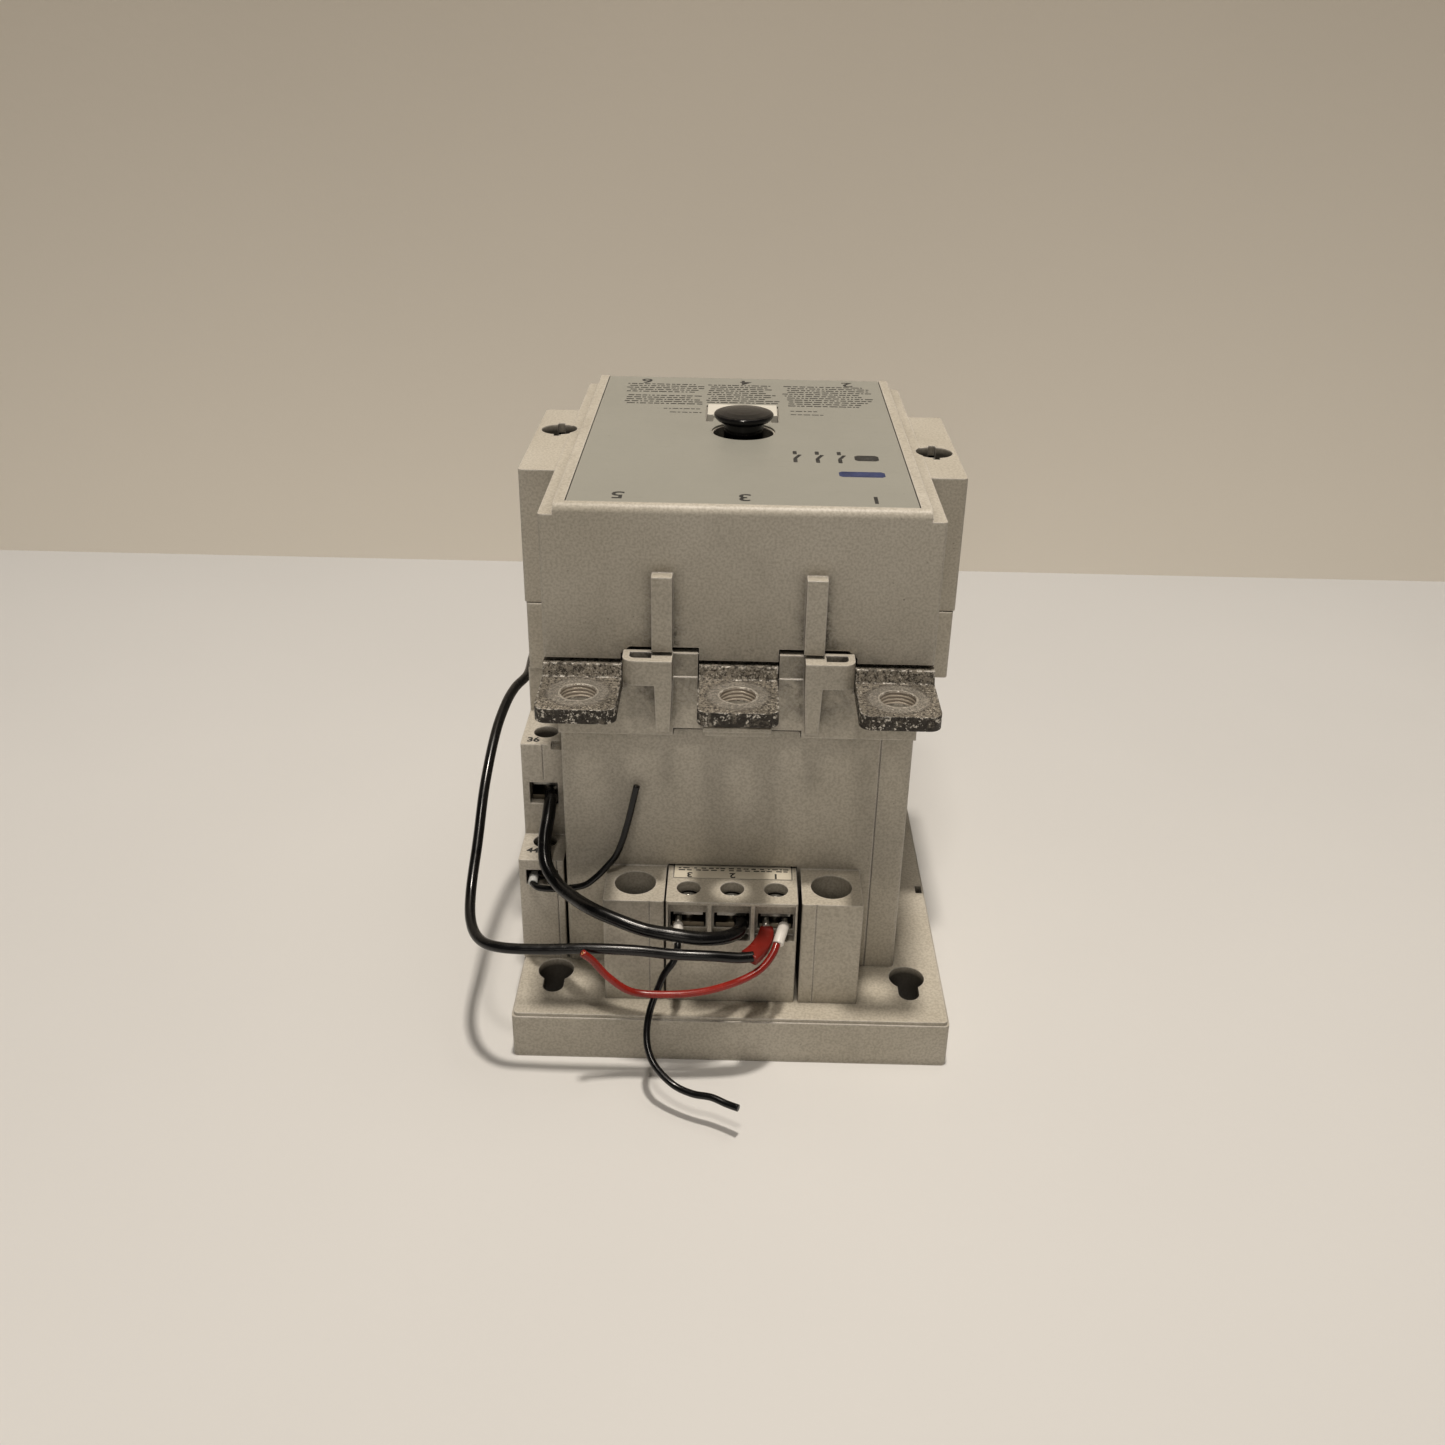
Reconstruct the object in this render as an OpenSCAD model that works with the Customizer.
// Three-pole power contactor with side auxiliary block, coil terminals and loose control wires.
// Origin: centre of the base plate's underside. +Z leaves the panel, -Y is the line side, +X right.
// The auxiliary block is on the left, the coil terminals are on the line side.

/* [Base] */
// Base plate width, mm
base_w = 120; // [110:0.5:130]
// Base plate length from line side to load side, mm
base_l = 175; // [165:0.5:185]
// Base plate thickness, mm
base_t = 14.5; // [13:0.1:16]
// Fixing slot spacing across the plate, mm
fix_x = 100; // [98:0.1:102]
// Fixing slot spacing along the plate, mm
fix_y = 145; // [143:0.1:147]
// Fixing slot entry circle radius, mm
fix_r = 5; // [4:0.1:6]
// Fixing slot neck half width, mm
fix_neck = 2.9; // [2.5:0.05:3.4]

/* [Housings] */
// Half width of the magnet housing, mm
low_hx = 46.7; // [44:0.1:49]
// Half length of the magnet housing, mm
low_hy = 62.5; // [60:0.1:65]
// Split height between magnet and contact housings, mm
low_top = 89; // [86:0.1:92]
// Split height between contact housing and cover, mm
mid_top = 111; // [108:0.1:113]
// Half width of contact housing and cover, mm
top_hx = 50; // [48:0.1:52]
// Cover line side end, mm
cov_y0 = -64; // [-66:0.1:-62]
// Cover load side end, mm
cov_y1 = 65; // [62:0.1:67]
// Height of the cover ledge, mm
ledge_z = 149.5; // [147:0.1:151]
// Height of the cover frame, mm
top_z = 152.3; // [150:0.1:154]
// Moulding wall, mm
wall = 2.5; // [2:0.1:3.5]

/* [Power path] */
// Pole pitch, mm
pitch = 40; // [38:0.1:42]
// Terminal bar width, mm
bar_w = 20.2; // [18:0.1:22]
// Terminal bar thickness, mm
bar_t = 3.8; // [3:0.1:5]
// Terminal bar top height, mm
bar_top = 107; // [105:0.1:108]
// Reach of the end walls from the middle, mm
end_y = 65.1; // [63:0.1:66]
// Reach of the hooked lips from the middle, mm
lip_y = 71.2; // [68:0.1:73]
// Rise of the terminal bar in front of the cover, mm
bar_step = 3.2; // [0:0.1:3.5]
// Terminal bar tip distance from centre, mm
bar_tip = 85; // [83:0.1:88]
// Terminal bar hole radius, mm
bar_r = 4.5; // [4:0.05:5]
// Terminal bar hole distance from centre, mm
bar_hole = 75; // [73:0.1:77]
// Moving contact width, mm
bridge_w = 11; // [9:0.1:12]

/* [Drive] */
// Travel of the contact carrier, mm
travel = 8; // [6:0.1:9]
// Share of the travel that compresses the contact springs, mm
overtravel = 2.5; // [1:0.1:3]
// Push button head radius, mm
knob_r = 8.45; // [7:0.05:9]
// Distance of the button axis from the middle towards the load side, mm
knob_y = 3.4; // [0:0.1:3.5]
// Clearance radius of the button hole, mm
knob_hole = 9.05; // [8.6:0.05:9.8]
// Running clearance on turning screws, mm
run = 0.05; // [0.02:0.01:0.1]

/* [Hidden] */
$fn = 48;
eps = 0.01;

// Heights and reaches shared by several pieces
seat_z = base_t + 0.05;
block_top = 47.4;
block_y = 79.7;
floor_top = 92;
roof_z = 147;
lip_bot = 107.2;
lip_top = 114;
slot_in = fix_y / 2 - 5;

// Power path
poles = [-pitch, 0, pitch];
partition_x = pitch / 2;
bar_bot = bar_top - bar_t;
bar_fit = 0.15;
root_hx = 7;
inner_y = 52.8;
neck_y = 53.2;
tip_y = 27;
tip_t = 2;
tip_gap = travel - overtravel;
fixed_tip_top = bar_top + tip_t;
mov_tip_bot = fixed_tip_top + tip_gap + 0.05;
bridge_z = mov_tip_bot + tip_t;
window_top = bridge_z + 12.5;

// Screw shank radii and screw places
big_r = 2.5;
mid_r = 2;
small_r = 1.5;
tower_x = 26.7;
tower_y = 71;
pillar_x = 15;
pillar_y = 45;
bar_screw_y = 38;
cover_screws = [[-53.5, 11.1], [53.6, -4.3]];

// Coil terminals and leads
coil_x = [-12.1, -0.3, 11.6];
coil_y = -73;
coil_clamp_z = 40.62;
lead_x = [coil_x[0], coil_x[2]];
lead_y = -66.6;
lead_z = 24;
lead_r = 0.9;
lead_bore = 1.1;

// Drive
core_y = 16;
pin_z = 79;
pin_r = 2;

// Marking tile notches
notch_x = [-9.9, 9.1];

// Auxiliary block; terminals are [y, clamp height]
aux_x = -53.7;
aux_x0 = -60;
aux_x1 = -47.4;
plunger_x = -53.4;
aux_low_y = 52;
aux_high_y = 40.7;
aux_terminals = [[-aux_low_y, 42.42], [-aux_high_y, 61.52], [aux_low_y, 42.42], [aux_high_y, 61.52]];

// Colours
plastic = [0.72, 0.70, 0.64];
steel = [0.55, 0.55, 0.55];
copper = [0.72, 0.42, 0.25];
silver = [0.8, 0.8, 0.8];
black = [0.06, 0.06, 0.06];
brass = [0.75, 0.68, 0.45];
label_grey = [0.60, 0.61, 0.55];
tile_cream = [0.86, 0.84, 0.76];
strip_tan = [0.80, 0.74, 0.60];
carrier_dark = [0.16, 0.15, 0.14];
bobbin_dark = [0.1, 0.1, 0.1];
winding_brown = [0.45, 0.2, 0.08];
lead_red = [0.5, 0.1, 0.08];
sleeve_red = [0.7, 0.08, 0.05];
plunger_white = [0.85, 0.85, 0.8];

// ---- helpers ----
// box given by its low and high corners
module box(low, high) {
  translate(low) cube([high[0] - low[0], high[1] - low[1], high[2] - low[2]]);
}
// box with its four upright edges rounded
module round_box(low, high, r) {
  translate([0, 0, low[2]]) linear_extrude(high[2] - low[2]) union() {
    translate([low[0] + r, low[1]]) square([high[0] - low[0] - 2 * r, high[1] - low[1]]);
    translate([low[0], low[1] + r]) square([high[0] - low[0], high[1] - low[1] - 2 * r]);
    for (x = [low[0] + r, high[0] - r]) for (y = [low[1] + r, high[1] - r])
      translate([x, y]) circle(r);
  }
}
// cylinder along Z from z0 to z1
module upright(x, y, z0, z1, r) { translate([x, y, z0]) cylinder(h = z1 - z0, r = r); }
// cylinder along Y, centred on its place
module rod_y(x, y, z, len, r) {
  translate([x, y, z]) rotate([90, 0, 0]) cylinder(h = len, r = r, center = true);
}
// the children and their mirror image, left to right or line side to load side
module both_x() {
  children();
  mirror([1, 0, 0]) children();
}
module both_y() {
  children();
  mirror([0, 1, 0]) children();
}

// Catmull-Rom curve between start and end at t = 0..1
function curve_point(prev, start, end, next, t) = 0.5 * (2 * start + (end - prev) * t
  + (2 * prev - 5 * start + 4 * end - next) * t * t
  + (3 * start - prev - 3 * end + next) * t * t * t);
// smooth path through the points, with a number of steps between neighbours
function spline(points, steps) = concat(
  [for (i = [0 : len(points) - 2]) for (j = [0 : steps - 1])
    curve_point(points[max(i - 1, 0)], points[i], points[i + 1],
      points[min(i + 2, len(points) - 1)], j / steps)],
  [points[len(points) - 1]]);
function unit(v) = v / norm(v);
function tangent(path, i) = unit(path[min(i + 1, len(path) - 1)] - path[max(i - 1, 0)]);
function any_normal(dir) = unit(cross(dir, abs(dir[2]) < 0.8 ? [0, 0, 1] : [1, 0, 0]));
// normal turned as little as possible to stand square to dir
function carry_normal(normal, dir) = unit(normal - (normal * dir) * dir);

// round bar along a path of points
module sweep(path, r, sides) {
  count = len(path);
  dirs = [for (i = [0 : count - 1]) tangent(path, i)];
  normals = [for (i = 0, v = any_normal(dirs[0]); i < count;
    i = i + 1, v = i < count ? carry_normal(v, dirs[i]) : v) v];
  points = [for (i = [0 : count - 1]) for (j = [0 : sides - 1])
    path[i] + r * (cos(360 * j / sides) * normals[i]
      + sin(360 * j / sides) * cross(dirs[i], normals[i]))];
  faces = concat(
    [[for (j = [0 : sides - 1]) j]],
    [[for (j = [sides - 1 : -1 : 0]) (count - 1) * sides + j]],
    [for (i = [0 : count - 2]) for (j = [0 : sides - 1])
      [i * sides + j, (i + 1) * sides + j, (i + 1) * sides + (j + 1) % sides]],
    [for (i = [0 : count - 2]) for (j = [0 : sides - 1])
      [i * sides + j, (i + 1) * sides + (j + 1) % sides, i * sides + (j + 1) % sides]]);
  polyhedron(points = points, faces = faces, convexity = 6);
}
// compression spring from z0 to z1
module coil_spring(x, y, z0, z1, coil_r, wire_r, turns) {
  per_turn = 12;
  steps = turns * per_turn;
  rise = z1 - z0 - 2 * wire_r;
  sweep([for (i = [0 : steps]) [
    x + coil_r * cos(360 * i / per_turn),
    y + coil_r * sin(360 * i / per_turn),
    z0 + wire_r + rise * i / steps]], wire_r, 6);
}
// machine screw with cross recess, head up; "at" is the middle of the head underside
module screw(at, head_r, head_h, shank_r, shank_l) {
  translate(at) difference() {
    union() {
      upright(0, 0, 0, head_h, head_r);
      upright(0, 0, -shank_l, eps, shank_r);
    }
    translate([0, 0, head_h]) for (a = [0, 90])
      rotate(a) translate([-head_r * 0.6, -head_r * 0.14, -head_h * 0.5])
        cube([head_r * 1.2, head_r * 0.28, head_h]);
  }
}

// ---- base and rail parts ----
// entry circle at y, neck running from it towards the line side
module keyhole(x, y) {
  neck_l = 7.1;
  upright(x, y, -1, base_t + 1, fix_r);
  upright(x, y - neck_l, -1, base_t + 1, fix_neck);
  box([x - fix_neck, y - neck_l, -1], [x + fix_neck, y, base_t + 1]);
}
module base_plate() {
  hx = base_w / 2;
  hy = base_l / 2;
  edge = 0.5;
  color(plastic) difference() {
    union() {
      round_box([-hx, -hy, 0], [hx, hy, base_t - 1], 1.5);
      round_box([-hx + edge, -hy + edge, base_t - 1 - eps], [hx - edge, hy - edge, base_t], 1.5);
    }
    for (x = [-fix_x / 2, fix_x / 2]) for (y = [-slot_in, fix_y - slot_in]) keyhole(x, y);
    // 35 mm rail recess with the fixed hook on the line side
    box([-hx - 1, -17.7, 6.4], [hx + 1, 21, 7.8]);
    box([-hx - 1, -15.4, -1], [hx + 1, 21, 6.5]);
    // latch channel, open underneath between its lips, and the spring room above it
    box([-12.3, 20.9, 2.2], [12.3, hy + 1, 6.6]);
    box([-9, 20.9, -1], [9, hy + 1, 2.3]);
    box([-4, 40, 6.5], [4, 62.2, 10.8]);
    // weight pockets
    both_x() {
      box([16, 26, -1], [44, 60, 9.5]);
      box([4, -60, -1], [44, -24, 9.5]);
    }
    // tower screw threads
    for (x = [-tower_x, tower_x]) for (y = [-tower_y, tower_y])
      upright(x, y, 3, base_t + 1, big_r + run);
    // small locating slot beside the housing
    box([57.2, -25, 8], [59.2, -21, base_t + 1]);
  }
}
module rail_latch() {
  color(black) difference() {
    union() {
      box([-12, 22, 2.4], [12, 91.5, 6.4]);
      // nose
      box([-12, 15.7, 4.4], [12, 22.1, 6.3]);
      box([-12, 17, 2.4], [12, 22.1, 5]);
      // pull end with a slot
      box([-8.7, 88.2, 0.6], [8.7, 94.5, 6.4]);
      // spring stop
      box([-3.6, 40.4, 6.3], [3.6, 43.4, 10.4]);
    }
    box([-5, 89.8, -1], [5, 92.2, 8]);
  }
}
module latch_spring() {
  color(steel) translate([0, 62, 8.5]) rotate([90, 0, 0])
    coil_spring(0, 0, 0, 18.4, coil_r = 1.5, wire_r = 0.3, turns = 7);
}

// ---- magnet housing ----
module lower_body() {
  difference() {
    round_box([-low_hx, -low_hy, seat_z], [low_hx, low_hy, low_top], 1.2);
    box([-low_hx + 3, -low_hy + 3, seat_z + 2.4], [low_hx - 3, low_hy - 3, low_top + 1]);
  }
  // screw towers
  both_x() both_y()
    round_box([18.5, low_hy - 0.5, seat_z], [34.9, block_y, block_top], 0.6);
  both_y() {
    // screw pillars tied to the end walls
    for (x = [-pillar_x, pillar_x]) {
      upright(x, pillar_y, 70, low_top, 4.5);
      box([x - 3, pillar_y, 70], [x + 3, 61, low_top]);
    }
    // raised strip below the tab
    box([-16.7, 61, low_top - 0.1], [16.7, low_hy, low_top + 1.6]);
    // cheeks that locate the fixed core
    box([-30, 16.2, seat_z + 2], [30, 19, 27]);
  }
}
module lower_housing() {
  color(plastic) difference() {
    lower_body();
    for (x = [-tower_x, tower_x]) for (y = [-tower_y, tower_y]) {
      upright(x, y, 24, 50, 5.6);
      upright(x, y, 10, 30, 2.8);
    }
    for (x = [-pillar_x, pillar_x]) for (y = [-pillar_y, pillar_y])
      upright(x, y, 72, low_top + 1, mid_r + run);
    for (x = lead_x) rod_y(x, -60, lead_z, 8, lead_bore);
    // shallow seat for the coil terminal block
    box([-18.2, -low_hy - 1, seat_z - 1], [17.6, -low_hy + 1.3, 48.1]);
    // parting grooves
    box([38.05, -low_hy - 1, seat_z - 1], [38.4, -low_hy + 0.35, low_top + 1]);
    both_x() both_y() box([22.25, 79.5, seat_z - 1], [22.55, 80.7, 48]);
  }
}

// ---- contact housing ----
// barrier between the middle and right terminal bays, line side
module barrier() {
  // lip with a rounded outer end and an open pocket
  difference() {
    translate([0, 0, lip_bot]) linear_extrude(lip_top - lip_bot) union() {
      translate([16.8, -lip_y]) square([9.6, lip_y - 64.1]);
      translate([26.4, 3 - lip_y]) circle(3);
      translate([26.3, 3 - lip_y]) square([3.1, lip_y - 67.1]);
    }
    translate([0, 0, lip_bot + 1.1]) linear_extrude(10) union() {
      translate([22.1, 2.2 - lip_y]) square([4.2, 3.6]);
      translate([26.2, 3.6 - lip_y]) square([1.5, 2.2]);
      translate([26.3, 3.6 - lip_y]) circle(1.4);
    }
  }
  box([16.8, -62.1, 103], [29.4, -57, mid_top]);
  // tongue below the lip
  translate([0, 0.1 - end_y, 0]) rotate([90, 0, 0]) linear_extrude(lip_y + 0.1 - end_y)
    polygon([[16.8, lip_bot + 0.1], [21.3, lip_bot + 0.1], [20.8, 94.2], [17.4, 94.2]]);
  // flat panel below the lip
  box([16.8, -end_y, low_top + 1.05], [31.5, -59.9, lip_bot + 0.8]);
  // wall beside the middle bay, its upper part a little back
  box([10.4, -end_y, low_top + 3.2], [17, -59.9, 107]);
  box([10.4, 0.4 - end_y, 106.9], [17, -62, 113.5]);
  box([10.4, -62.1, 104.4], [17, -57, mid_top]);
  // bay side returns and the back of the pocket between the bays
  box([10.4, -60, 103], [11.6, -50, mid_top]);
  box([28.2, -58, 103], [29, -50, mid_top]);
  box([12, -54, 103], [29, -inner_y, mid_top]);
  // end wall under the outer bar
  box([31.4, -end_y, low_top + 1.05], [46.8, -59.9, bar_bot]);
}
// line side end of the contact housing
module contact_end() {
  // end wall under the middle bar and closing wall above it
  box([-17, -end_y, low_top + 3.2], [17, -59.9, bar_bot]);
  box([-46.8, -inner_y, floor_top], [46.8, -50, bar_bot]);
  box([-top_hx, -inner_y, bar_bot - 1], [top_hx, -50, mid_top]);
  // bar seats and pole partitions
  for (x = poles)
    box([x - root_hx, -60.1, floor_top - 0.1], [x + root_hx, -22, bar_bot]);
  for (x = [-partition_x, partition_x])
    box([x - 1.1, -60.1, floor_top - 0.1], [x + 1.1, -9, mid_top - 0.3]);
  both_x() barrier();
  // stepped tab under the middle bar
  box([-8.9, -1.5 - end_y, 91.9], [8.9, 0.1 - end_y, 93.2]);
  box([-8.4, -1 - end_y, 90.6], [8.4, 0.1 - end_y, 92]);
}
module contact_housing() {
  slot_hx = bar_w / 2 + bar_fit;
  color(plastic) difference() {
    union() {
      box([-46.8, -60, low_top + 0.05], [46.8, 60, floor_top]);
      // side walls, floor edges and side lugs
      both_x() {
        box([47.6, -inner_y, 91], [top_hx, inner_y, mid_top]);
        box([46.7, -60, 91], [top_hx, 60, 92.4]);
        box([45, -60, 91], [47, 60, 92.4]);
        round_box([49, -28.5, 91], [59.5, 32, mid_top], 1);
      }
      both_y() contact_end();
    }
    // bar slots through the end walls, and the bars' own seats
    both_y() for (x = poles) {
      box([x - slot_hx, inner_y - 0.1, bar_bot], [x + slot_hx, 70, bar_top + bar_step + bar_fit]);
      box([x - root_hx - bar_fit, 49, bar_bot], [x + root_hx + bar_fit, 54, bar_top + bar_fit]);
      upright(x, bar_screw_y, 94, 110, mid_r + run);
    }
    // drive opening in the floor, beam slots in the pole partitions
    box([-15.5, -7.5, 80], [15.5, 7.5, 95]);
    box([-24, -9.5, 102.5], [24, 9.5, 115]);
    for (x = [-pillar_x, pillar_x]) for (y = [-pillar_y, pillar_y])
      upright(x, y, 80, 95, 2.2);
    // cover screw threads
    for (p = cover_screws) upright(p[0], p[1], 94, 115, big_r + run);
    // passage for the drive arm and the auxiliary plunger
    box([-57, -3.2, 95.4], [-47, 3.2, 115]);
    upright(plunger_x, 0, 90, 96, 2.4);
    // lightening pockets under the lugs
    box([51.5, 3, 90], [57.5, 29.5, 108]);
    box([-57.5, 17.5, 90], [-51.5, 29.5, 108]);
  }
}

// ---- cover ----
frame_hx = 46.2;
frame_r = 2;

module cover_body() {
  z0 = mid_top + 0.3;
  lug_top = ledge_z - 0.2;
  difference() {
    round_box([-top_hx, cov_y0, z0], [top_hx, cov_y1, ledge_z], 1);
    box([-top_hx + wall, cov_y0 + wall, z0 - 1], [top_hx - wall, cov_y1 - wall, roof_z]);
  }
  // raised frame with a rolled line side edge
  box([-frame_hx, cov_y0 + frame_r, ledge_z - 1], [frame_hx, cov_y1, top_z]);
  box([-frame_hx, cov_y0, ledge_z - 1], [frame_hx, cov_y0 + frame_r + 0.1, top_z - frame_r]);
  translate([-frame_hx, cov_y0 + frame_r, top_z - frame_r]) rotate([0, 90, 0])
    cylinder(h = 2 * frame_hx, r = frame_r);
  // side lugs, hollow below, with the screw bosses
  both_x() difference() {
    round_box([49, -28, z0], [60, 32.6, lug_top], 1);
    box([top_hx - 0.1, -25.8, z0 - 1], [57.8, 30.4, 146.5]);
  }
  for (p = cover_screws) upright(p[0], p[1], z0, lug_top, 6.2);
  // pole partitions
  for (x = [-partition_x, partition_x])
    box([x - 0.9, cov_y0 + 1, z0], [x + 0.9, cov_y1 - 1, roof_z + 1]);
  // end ribs, as [left, right]
  for (x = [[-22.1, -16.9], [16.4, 21.6]]) {
    box([x[0], cov_y0 - 3.5, 115], [x[1], cov_y0 + 1, 135]);
    box([x[0], cov_y1 - 1, 115], [x[1], cov_y1 + 3.5, 135]);
  }
}
module arc_chamber_cover() {
  color(plastic) difference() {
    cover_body();
    // notches over the barriers
    both_x() {
      for (y = [cov_y0 + wall + 1, cov_y1 + 4])
        translate([0, y, 0]) rotate([90, 0, 0]) linear_extrude(wall + 5)
          polygon([[10.2, 100], [10.2, 114.8], [27.9, 114.8], [30.2, 112.7], [30.2, 100]]);
      box([27, cov_y1 - wall - 1, 108], [30.1, cov_y1 + 1, 114.8]);
    }
    // room for the moving beam
    box([-24, -9.5, 100], [24, 9.5, 135]);
    // button hole, label recess, tile pocket
    upright(0, knob_y, 140, 160, knob_hole - 0.45);
    box([-43.5, -61.5, top_z - 0.8], [43.5, cov_y1 + 1, top_z + 1]);
    box([-10.9, 17.1, top_z - 2.5], [10.1, 30.6, top_z + 1]);
    for (x = notch_x) box([x - 1, 13, top_z - 4.2], [x + 1, 18.4, top_z + 1]);
    // groove between ledge and frame
    both_x() box([46.15, cov_y0 + 2, ledge_z - 0.6], [46.65, cov_y1 - 1, ledge_z + 0.1]);
    // cover screw bores with side notches
    for (p = cover_screws) {
      upright(p[0], p[1], 119, 160, 5.15);
      upright(p[0], p[1], 100, 125, big_r + run);
      box([p[0] - 1, p[1] - 6.6, 146], [p[0] + 1, p[1] + 6.6, 160]);
    }
  }
}
module label_plate() {
  color(label_grey) difference() {
    box([-43.3, -61.3, top_z - 0.78], [43.3, 64.6, top_z - 0.2]);
    upright(0, knob_y, 140, 160, knob_hole);
    box([-11.2, 16.8, 140], [10.4, 30.9, 160]);
    for (x = notch_x) box([x - 1.1, 12.9, 140], [x + 1.1, 18, 160]);
  }
}
module marking_tile() {
  color(tile_cream) difference() {
    box([-10.7, 17.3, top_z - 2.4], [9.9, 30.4, top_z + 0.3]);
    for (x = notch_x) box([x - 1.05, 17, top_z - 3], [x + 1.05, 18.6, top_z + 1]);
  }
}
// stacks of plates with a V notch towards the middle, one stack at each end of each pole
module arc_chute_plates() {
  plate_x = [[-47, -21], [-19, 19], [21, 47]];
  plate_z = 115.5;
  plate_pitch = 3.4;
  color(steel) for (i = [0 : 2]) both_y() for (k = [0 : 8])
    translate([0, 0, plate_z + plate_pitch * k]) difference() {
      box([plate_x[i][0], 36, 0], [plate_x[i][1], 56, 1]);
      translate([poles[i], 35.9, -1.5]) linear_extrude(4) polygon([[-5.5, 0], [5.5, 0], [0, 11]]);
    }
}
module cover_screw(i) {
  color(steel) screw([cover_screws[i][0], cover_screws[i][1], 119.05],
    head_r = 4.4, head_h = 4, shank_r = big_r, shank_l = 22);
}
module cover_screw_left() { cover_screw(0); }
module cover_screw_right() { cover_screw(1); }

// ---- moving drive ----
module contact_carrier() {
  color(carrier_dark) difference() {
    union() {
      // beam, its two legs and the web between them
      box([-47.3, -7.5, 112.6], [47.3, 7.5, 132]);
      both_x() box([8, -6, 88.6], [14, 6, 112.7]);
      box([-14, -6, 100.8], [14, 6, 112.7]);
      // spigot for the button
      translate([0, knob_y, 131.9]) cylinder(h = 8.2, r = 4);
      // arm that presses the auxiliary plunger
      box([-47.3, -2.5, 104], [-45.9, 2.5, 113]);
      box([-56.2, -2.5, 104], [-45.9, 2.5, 108]);
    }
    // windows for the moving contacts
    for (x = poles)
      box([x - bridge_w / 2 - 0.3, -8, bridge_z - 0.02], [x + bridge_w / 2 + 0.3, 8, window_top]);
  }
}
module mushroom_button() {
  stem_r = 5.65;
  // flat head with a tapered underside, as [radius, height]
  head = [[0, 154.8], [stem_r, 154.8], [6.7, 155.05], [7.7, 155.6], [knob_r - 0.15, 156.3],
    [knob_r, 156.7], [knob_r, 157.1], [knob_r - 0.25, 157.4], [knob_r - 0.9, 157.65],
    [5, 158], [2.5, 158.15], [0, 158.2]];
  color(black) translate([0, knob_y, 0]) difference() {
    union() {
      translate([0, 0, 132.1]) cylinder(h = 22.9, r = stem_r);
      rotate_extrude($fn = 96) polygon(head);
    }
    translate([0, 0, 131]) cylinder(h = 9.2, r = 4.02);
  }
}
module armature_holder() {
  color(black) difference() {
    union() {
      box([-17, -28, 84.05], [17, 28, 88.55]);
      both_y() box([-8, 16.1, 74.5], [8, 19.5, 84.2]);
    }
    rod_y(0, 0, pin_z, 60, pin_r + run);
  }
}
module armature_pin() { color(steel) rod_y(0, 0, pin_z, 38.6, pin_r); }
// E-shaped core; yoke and legs are given by their [low, high] heights
module e_core(yoke, legs) {
  box([-38, -core_y, yoke[0]], [38, core_y, yoke[1]]);
  box([-9, -core_y, legs[0]], [9, core_y, legs[1]]);
  both_x() box([27, -core_y, legs[0]], [38, core_y, legs[1]]);
}
module armature() {
  color(steel) difference() {
    e_core(yoke = [74, 84], legs = [66.05, 74.1]);
    rod_y(0, 0, pin_z, 60, pin_r + run);
    for (x = [-32, 32]) rod_y(x, 0, 78, 60, 1.5);
  }
}
module fixed_core() {
  color(steel) difference() {
    e_core(yoke = [17, 29], legs = [28.9, 58]);
    for (x = [-32, 32]) for (z = [22, 50]) rod_y(x, 0, z, 60, 1.5);
  }
}
module coil_bobbin() {
  color(bobbin_dark) difference() {
    union() {
      for (z = [29.1, 54.2]) round_box([-26.6, -30, z], [26.6, 30, z + 2], 2);
      round_box([-11, -18, 31], [11, 18, 54.3], 2);
    }
    box([-9.15, -16.15, 20], [9.15, 16.15, 60]);
  }
}
module coil_winding() {
  color(winding_brown) difference() {
    round_box([-25.4, -28.6, 31.15], [25.4, 28.6, 54.15], 8);
    round_box([-11.05, -18.05, 30], [11.05, 18.05, 56], 2);
  }
}
module coil_leads() {
  color(lead_red) for (x = lead_x) {
    translate([x, -67.4, lead_z]) rotate([-90, 0, 0]) cylinder(h = 38.7, r = lead_r);
    translate([x, lead_y, lead_z]) cylinder(h = 13, r = lead_r);
  }
}
module return_springs() {
  color(silver) for (y = [-23.5, 23.5])
    coil_spring(0, y, 56.25, 84, coil_r = 3.4, wire_r = 0.5, turns = 7);
}

// ---- power path ----
module contact_tip(x, y, z0, z1) { round_box([x - 5, y - 3.5, z0], [x + 5, y + 3.5, z1], 1); }
module contact_bridge(x) {
  color(copper) union() {
    round_box([x - bridge_w / 2, -32, bridge_z], [x + bridge_w / 2, 32, bridge_z + 2.5], 1.5);
    for (y = [-tip_y, tip_y]) contact_tip(x, y, mov_tip_bot, bridge_z + 0.05);
  }
}
module contact_bridge_1() { contact_bridge(poles[0]); }
module contact_bridge_2() { contact_bridge(poles[1]); }
module contact_bridge_3() { contact_bridge(poles[2]); }
module contact_springs() {
  color(silver) for (x = poles) coil_spring(x, 0, bridge_z + 2.55, window_top - 0.02,
    coil_r = 3.2, wire_r = 0.5, turns = 5);
}
// line side terminal bar
module bar(x) {
  hx = bar_w / 2;
  z0 = bar_bot + 0.02;
  step_z = bar_top + bar_step;
  difference() {
    union() {
      round_box([x - hx, -bar_tip, z0], [x + hx, -neck_y, bar_top], 3);
      box([x - hx, -60, z0], [x + hx, -neck_y, bar_top]);
      box([x - root_hx, -neck_y - 0.1, z0], [x + root_hx, -22, bar_top]);
      // raised part in front of the cover
      translate([x - hx, 0, 0]) rotate([90, 0, 90]) linear_extrude(bar_w)
        polygon([[-66.3, bar_top - 0.5], [-66.3, bar_top], [-65, step_z],
          [-neck_y, step_z], [-neck_y, bar_top - 0.5]]);
    }
    upright(x, -bar_hole, 90, 120, bar_r);
    upright(x, -bar_screw_y, 90, 120, 2.15);
  }
}
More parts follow.
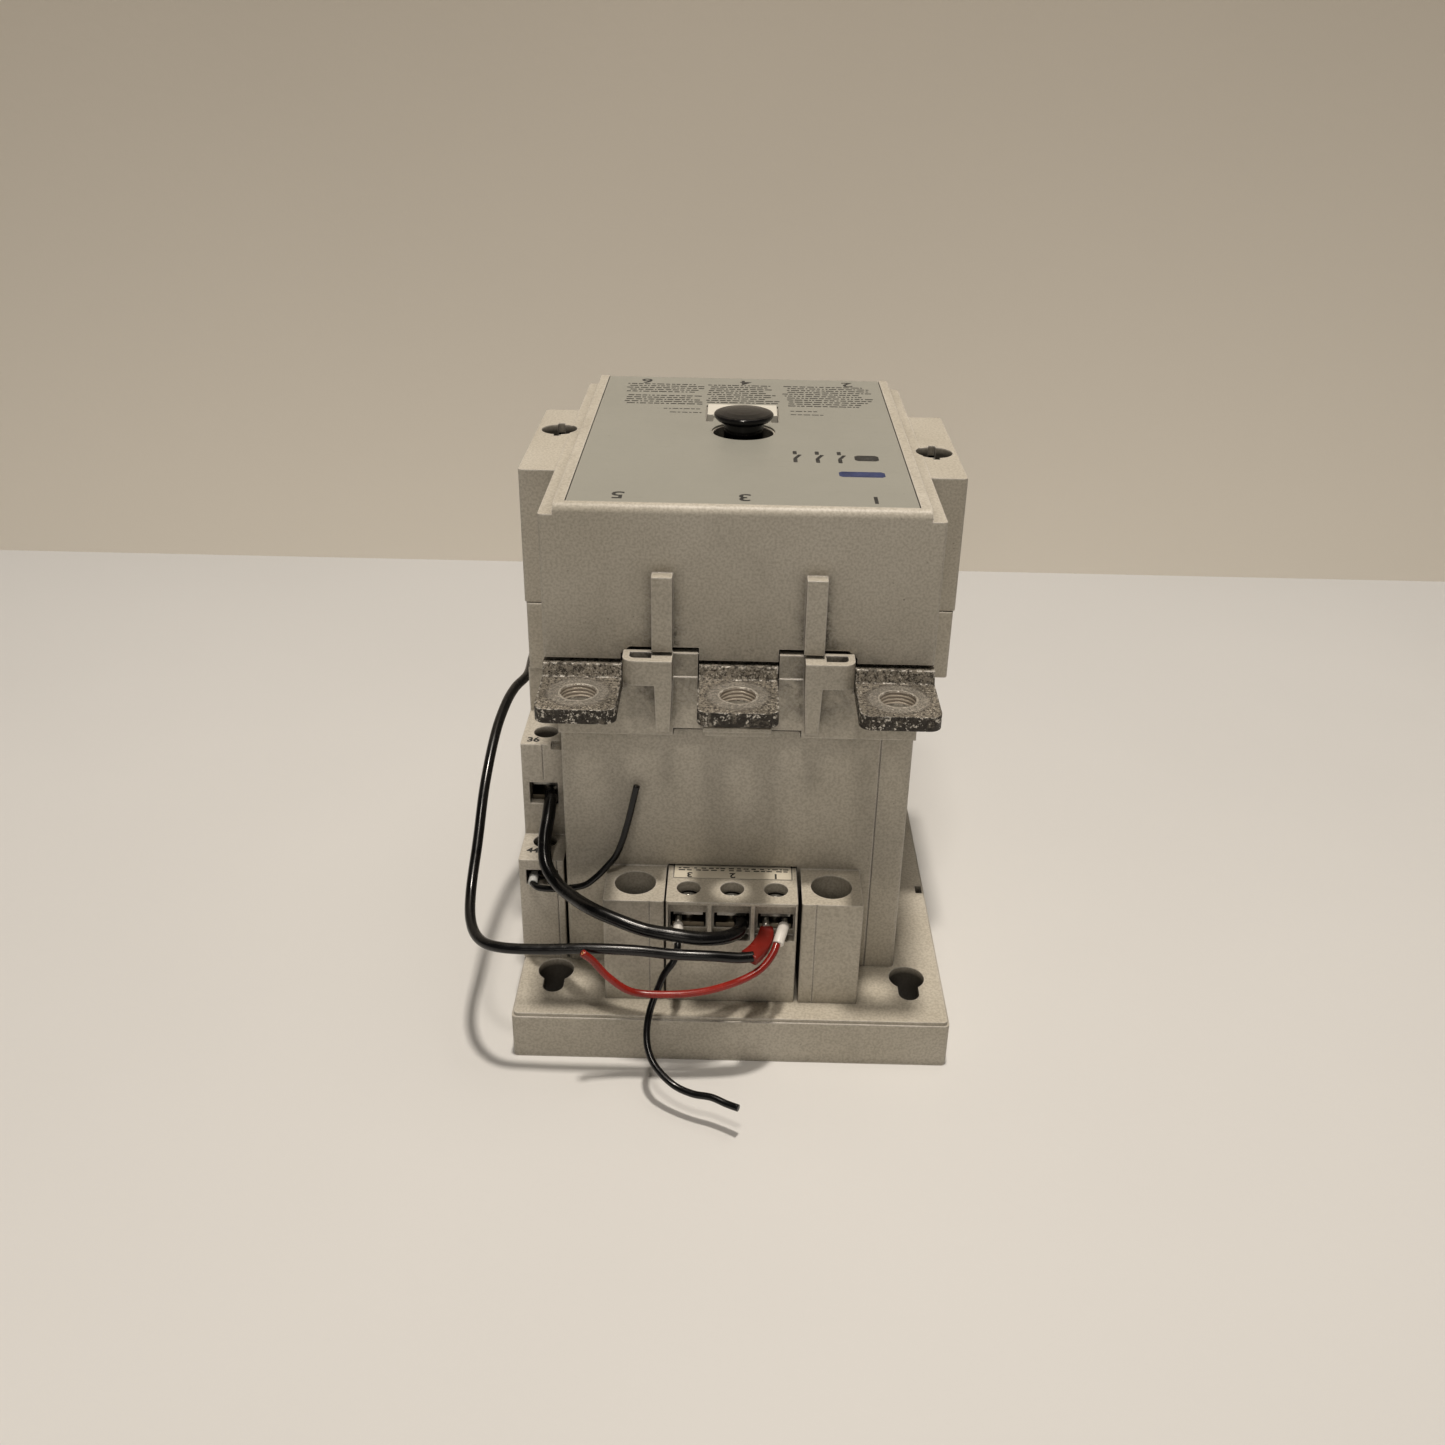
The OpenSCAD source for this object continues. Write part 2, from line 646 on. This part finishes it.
module line_terminal_bars() { color(steel) for (x = poles) bar(x); }
module load_terminal_bars() { color(steel) mirror([0, 1, 0]) for (x = poles) bar(x); }
module fixed_contact_tips() {
  color(silver) for (x = poles) for (y = [-tip_y, tip_y])
    contact_tip(x, y, bar_top + 0.01, fixed_tip_top);
}
module bar_fixing_screws() {
  color(steel) for (x = poles) for (y = [-bar_screw_y, bar_screw_y])
    screw([x, y, bar_top + 0.02], head_r = 3.6, head_h = 2.4, shank_r = mid_r, shank_l = 12);
}

// ---- coil terminals ----
module coil_terminal_housing() {
  // left and right side of each terminal bay
  bay_x = [[-17.4, -6.8], [-5.7, 4.8], [5.9, 16.8]];
  color(plastic) difference() {
    round_box([-18.0, -block_y, seat_z], [17.4, -low_hy + 1.15, block_top], 0.5);
    for (i = [0 : 2]) {
      x = coil_x[i];
      box([bay_x[i][0], -81, 35.2], [bay_x[i][1], -76.5, 46.5]);
      box([x - 4.8, -77, 37.08], [x + 4.8, -68.6, 42]);
      box([x - 4.3, -75.95, 41.9], [x + 4.3, -68.4, 44.3]);
      upright(x, coil_y, 30, 38, 1.9);
      upright(x, coil_y, 40, 50, 3.25);
    }
    // strip recess, lead channels
    box([-16.6, -68.3, 46.9], [16.2, -60, 50]);
    for (x = lead_x) {
      rod_y(x, -60, lead_z, 16, lead_bore);
      upright(x, lead_y, 23, 40, lead_bore);
      box([x - lead_bore, -68.75, 37.08], [x + lead_bore, -65.5, 40]);
    }
  }
}
module coil_marking_strip() {
  color(strip_tan) box([-16.3, -68.1, 46.92], [15.9, -61.6, 47.5]);
}
// the outer two plates have a tongue that reaches the coil lead
module coil_terminal_plates() {
  z0 = 37.1;
  z1 = 38.6;
  color(brass) for (x = coil_x) difference() {
    union() {
      box([x - 4.3, -76.2, z0], [x + 4.3, -68.6, z1]);
      if (x != coil_x[1]) box([x - 0.9, -68.7, z0], [x + 0.9, -65.7, z1]);
    }
    upright(x, coil_y, 30, 45, small_r + run);
  }
}
module clamp_plate(x, y, z) {
  color(steel) difference() {
    box([x - 4, y - 2.8, z], [x + 4, y + 2.8, z + 0.98]);
    upright(x, y, z - 1, z + 3, small_r + run);
  }
}
module coil_screw(i) {
  color(steel) screw([coil_x[i], coil_y, coil_clamp_z + 1],
    head_r = 2.75, head_h = 2.5, shank_r = small_r, shank_l = 8.6);
}
module coil_clamp(i) { clamp_plate(coil_x[i], coil_y, coil_clamp_z); }
module coil_screw_1() { coil_screw(0); }
module coil_screw_2() { coil_screw(1); }
module coil_screw_3() { coil_screw(2); }
module coil_clamp_1() { coil_clamp(0); }
module coil_clamp_2() { coil_clamp(1); }
module coil_clamp_3() { coil_clamp(2); }
// hollow block that fills the load side gap between the towers
module blanking_insert() {
  color(plastic) difference() {
    round_box([-17.7, low_hy + 0.15, seat_z], [17.7, block_y, block_top], 0.5);
    box([-15.5, low_hy - 1, 10], [15.5, 77.5, 45]);
  }
}

// ---- auxiliary block ----
// hollows for the two line side terminals
module aux_terminal_hollows() {
  // lower terminal
  box([-58, -63, 39.9], [-49, -58, 44.7]);
  box([aux_x - 4.2, -59, 39.0], [aux_x + 4.2, -47.6, 45.3]);
  upright(aux_x, -aux_low_y, 35, 40, 1.9);
  upright(aux_x, -aux_low_y, 44, 50, 3.4);
  // upper terminal
  box([-58, -50, 58.1], [-50, -44, 65]);
  box([aux_x - 4.2, -46, 58.1], [aux_x + 4.2, -36.3, 64.4]);
  upright(aux_x, -aux_high_y, 54, 60, 1.9);
  upright(aux_x, -aux_high_y, 64, 80, 3.4);
  // channels of the contact arms
  box([aux_x - 2.1, -48, 38.95], [aux_x + 2.1, -17, 40.5]);
  box([aux_x - 2.1, -37, 58.05], [aux_x + 2.1, -31, 59.6]);
  box([aux_x - 2.1, -33, 49.85], [aux_x + 2.1, -31.3, 59.6]);
  box([aux_x - 2.1, -33, 49.85], [aux_x + 2.1, -17, 51.4]);
}
module aux_block_housing() {
  // stacked steps as [y0, y1, z0, z1]
  steps = [[-62, 62, seat_z, 47.9], [-48.3, 48.3, 40, 77.1], [-27.5, 31, 70, 90.8]];
  color(plastic) difference() {
    union() {
      for (s = steps) round_box([aux_x0, s[0], s[2]], [aux_x1, s[1], s[3]], 0.5);
    }
    both_y() aux_terminal_hollows();
    // plunger chamber
    box([-57.2, -18, 22], [-50.2, 18, 88]);
    upright(plunger_x, 0, 85, 95, 2.4);
    // parting lines and the small corner notch
    both_y() {
      box([-54.1, 48.0, 66], [-53.8, 48.7, 78]);
      box([-49.5, 61.7, 10], [-49.2, 62.5, 48.1]);
    }
    box([-51.5, -49, 75.6], [-47, -45.6, 78]);
  }
}
module aux_terminal_plates() {
  color(brass) both_y() union() {
    // lower plate with its straight arm
    difference() {
      union() {
        box([aux_x - 4, -58.4, 39.05], [aux_x + 4, -47.8, 40.4]);
        box([aux_x - 2, -47.9, 39.05], [aux_x + 2, -12, 40.4]);
      }
      upright(aux_x, -aux_low_y, 30, 50, small_r + run);
    }
    // upper plate with its arm stepped down
    difference() {
      union() {
        box([aux_x - 4, -45.8, 58.15], [aux_x + 4, -36.5, 59.5]);
        box([aux_x - 2, -36.6, 58.15], [aux_x + 2, -31.4, 59.5]);
        box([aux_x - 2, -32.8, 49.95], [aux_x + 2, -31.4, 59.5]);
        box([aux_x - 2, -32.8, 49.95], [aux_x + 2, -12, 51.3]);
      }
      upright(aux_x, -aux_high_y, 50, 70, small_r + run);
    }
  }
}
module aux_screw(i) {
  color(steel) screw([aux_x, aux_terminals[i][0], aux_terminals[i][1] + 1],
    head_r = 2.65, head_h = 2.2, shank_r = small_r, shank_l = 7.4);
}
module aux_clamp(i) { clamp_plate(aux_x, aux_terminals[i][0], aux_terminals[i][1]); }
module aux_screw_1() { aux_screw(0); }
module aux_screw_2() { aux_screw(1); }
module aux_screw_3() { aux_screw(2); }
module aux_screw_4() { aux_screw(3); }
module aux_clamp_1() { aux_clamp(0); }
module aux_clamp_2() { aux_clamp(1); }
module aux_clamp_3() { aux_clamp(2); }
module aux_clamp_4() { aux_clamp(3); }

aux_bridge_z = [59.35, 48.45];
module aux_plunger() {
  color(plunger_white) difference() {
    union() {
      box([-56.8, -4, 41.5], [-50.6, 4, 87.2]);
      upright(plunger_x, 0, 87, 103.95, 2.2);
    }
    for (z = aux_bridge_z) box([-55.3, -5, z - 0.05], [-52.1, 5, z + 1.15]);
  }
}
module aux_plunger_spring() {
  color(silver) coil_spring(aux_x, 0, 22.05, 41.45, coil_r = 2.6, wire_r = 0.35, turns = 7);
}
module aux_contact_bridges() {
  color(copper) for (z = aux_bridge_z) box([-55.2, -16, z], [-52.2, 16, z + 1]);
}

// ---- other fasteners ----
module tower_screws() {
  color(steel) for (x = [-tower_x, tower_x]) for (y = [-tower_y, tower_y])
    screw([x, y, 24.02], head_r = 4.5, head_h = 4, shank_r = big_r, shank_l = 18);
}
module housing_screws() {
  color(steel) for (x = [-pillar_x, pillar_x]) for (y = [-pillar_y, pillar_y])
    screw([x, y, floor_top + 0.02], head_r = 3.4, head_h = 2.4, shank_r = mid_r, shank_l = 16);
}

// ---- control wires ----
// wire stations as [x, y, z]
aux_to_coil_path = [
  [-52.3, -46.6, 60.5], [-51.9, -50.3, 60.6], [-52.1, -55, 57.8], [-52.6, -60, 53.4],
  [-51.8, -65, 48.9], [-48.2, -70, 45.8], [-43.4, -75.5, 45.3], [-37.6, -81.8, 46],
  [-30.5, -85.2, 45], [-23, -87.2, 43.5], [-15.5, -88.4, 43], [-8.5, -88.4, 42],
  [-2.6, -86.4, 40.9], [1, -83, 40], [2.2, -79.8, 39.6], [2.2, -77.2, 39.6]];
side_loop_path = [
  [-53.6, 46.8, 60.5], [-54, 52, 60.8], [-57.5, 58.5, 62.5], [-63, 58, 65.5],
  [-66, 50, 68], [-66.6, 35, 71], [-65.9, 18, 72.6], [-65.6, 5, 72.9],
  [-68.1, -5, 73], [-69.6, -15, 72], [-70.9, -27, 68.3], [-71.9, -42, 60],
  [-72.3, -55, 49.8], [-72.5, -68, 41.6], [-71, -78, 38.4], [-67.2, -86, 38.2],
  [-60.9, -91, 39.6], [-50.3, -92, 40], [-37.2, -92.2, 40.8], [-25.2, -92.2, 40.5],
  [-15.4, -92, 39.4], [-5.5, -91.7, 38.9], [1.5, -91, 38], [5.6, -90.1, 37.8]];
red_path = [
  [12, -84.4, 38.2], [10.7, -87.4, 36.5], [7.5, -90.6, 34], [1.6, -93, 31.7],
  [-7.3, -94, 29], [-17.2, -94.5, 28.1], [-26.2, -94.5, 28.8], [-32.1, -95, 33.7],
  [-36.1, -95.5, 39.3], [-38.6, -96.4, 42.4]];
floor_path = [
  [-14.6, -83.3, 36.8], [-14.7, -85, 35.6], [-15.6, -87, 33.2], [-18, -88.4, 30],
  [-19.6, -90, 26.3], [-21.5, -93, 21.6], [-22.2, -97, 17.6], [-21.5, -101, 14.5],
  [-19.2, -104.6, 11.9], [-14.6, -108, 9.3], [-9.6, -110.5, 8.7], [-4.6, -112.3, 9.3],
  [-0.7, -114.2, 9], [2.4, -116, 9.3]];
aux_loose_path = [
  [-56.1, -63.6, 41.4], [-54.2, -66, 41.6], [-50.6, -66.9, 41.8], [-46, -66.9, 42.2],
  [-41.2, -66.9, 43.3], [-37.7, -66.8, 46.2], [-35, -66.8, 49.4], [-32.3, -66.8, 53.2],
  [-30.6, -66.4, 57.4], [-28.9, -65.6, 63.4], [-27.5, -65, 69.6], [-26.5, -64.6, 74.1]];
// straight metal ends as [from, to, radius]
straight_ends = [
  [[-51.2, -46.1, 60.5], [-51.2, -38, 60.5], 0.97],
  [[-51.2, 46.75, 60.5], [-51.2, 38, 60.5], 0.97],
  [[-56.1, -59.4, 41.4], [-56.1, -49.4, 41.4], 0.97],
  [[2.3, -77.05, 39.6], [2.3, -70.4, 39.6], 0.97],
  [[9.0, -79, 39.6], [9.0, -70.4, 39.6], 0.97],
  [[14.2, -78.4, 39.6], [14.2, -70.4, 39.6], 0.97],
  [[-14.7, -78.4, 39.6], [-14.7, -70.4, 39.6], 0.97],
  [[-56.1, -62.9, 41.4], [-56.1, -59.3, 41.4], 1.35]];
// bent collars as [stations, radius]
bent_collars = [
  [[[14.1, -78.3, 39.6], [13.2, -81.2, 39.2], [12.3, -83.6, 38.6]], 1.5],
  [[[-14.7, -78.3, 39.5], [-14.6, -80.5, 38.3], [-14.6, -82.7, 37.1]], 1.4],
  [[[9.0, -78.9, 39.4], [8.9, -80.5, 38.6], [8.0, -84, 37.8], [6.9, -87.5, 37.5]], 1.95]];

module wire(path, r) { sweep(spline(path, 4), r, 10); }
module wire_aux_to_coil() { color(black) wire(aux_to_coil_path, 1.85); }
module wire_side_loop() { color(black) wire(side_loop_path, 1.45); }
module wire_red() { color(sleeve_red) wire(red_path, 1); }
module wire_floor() { color(black) wire(floor_path, 0.95); }
module wire_aux_loose() { color(black) wire(aux_loose_path, 0.9); }
module wire_ferrules() {
  color(silver) {
    for (f = straight_ends) sweep([f[0], f[1]], f[2], 12);
    for (f = bent_collars) sweep(spline(f[0], 3), f[1], 12);
  }
}

base_plate();
lower_housing();
contact_housing();
arc_chamber_cover();
label_plate();
marking_tile();
arc_chute_plates();
cover_screw_left();
cover_screw_right();
contact_carrier();
mushroom_button();
armature_holder();
armature();
armature_pin();
fixed_core();
coil_bobbin();
coil_winding();
coil_leads();
return_springs();
contact_bridge_1();
contact_bridge_2();
contact_bridge_3();
contact_springs();
line_terminal_bars();
load_terminal_bars();
fixed_contact_tips();
bar_fixing_screws();
coil_terminal_housing();
coil_marking_strip();
coil_terminal_plates();
coil_screw_1();
coil_screw_2();
coil_screw_3();
coil_clamp_1();
coil_clamp_2();
coil_clamp_3();
aux_block_housing();
aux_terminal_plates();
aux_screw_1();
aux_screw_2();
aux_screw_3();
aux_screw_4();
aux_clamp_1();
aux_clamp_2();
aux_clamp_3();
aux_clamp_4();
aux_plunger();
aux_plunger_spring();
aux_contact_bridges();
blanking_insert();
rail_latch();
latch_spring();
tower_screws();
housing_screws();
wire_aux_to_coil();
wire_side_loop();
wire_red();
wire_floor();
wire_aux_loose();
wire_ferrules();
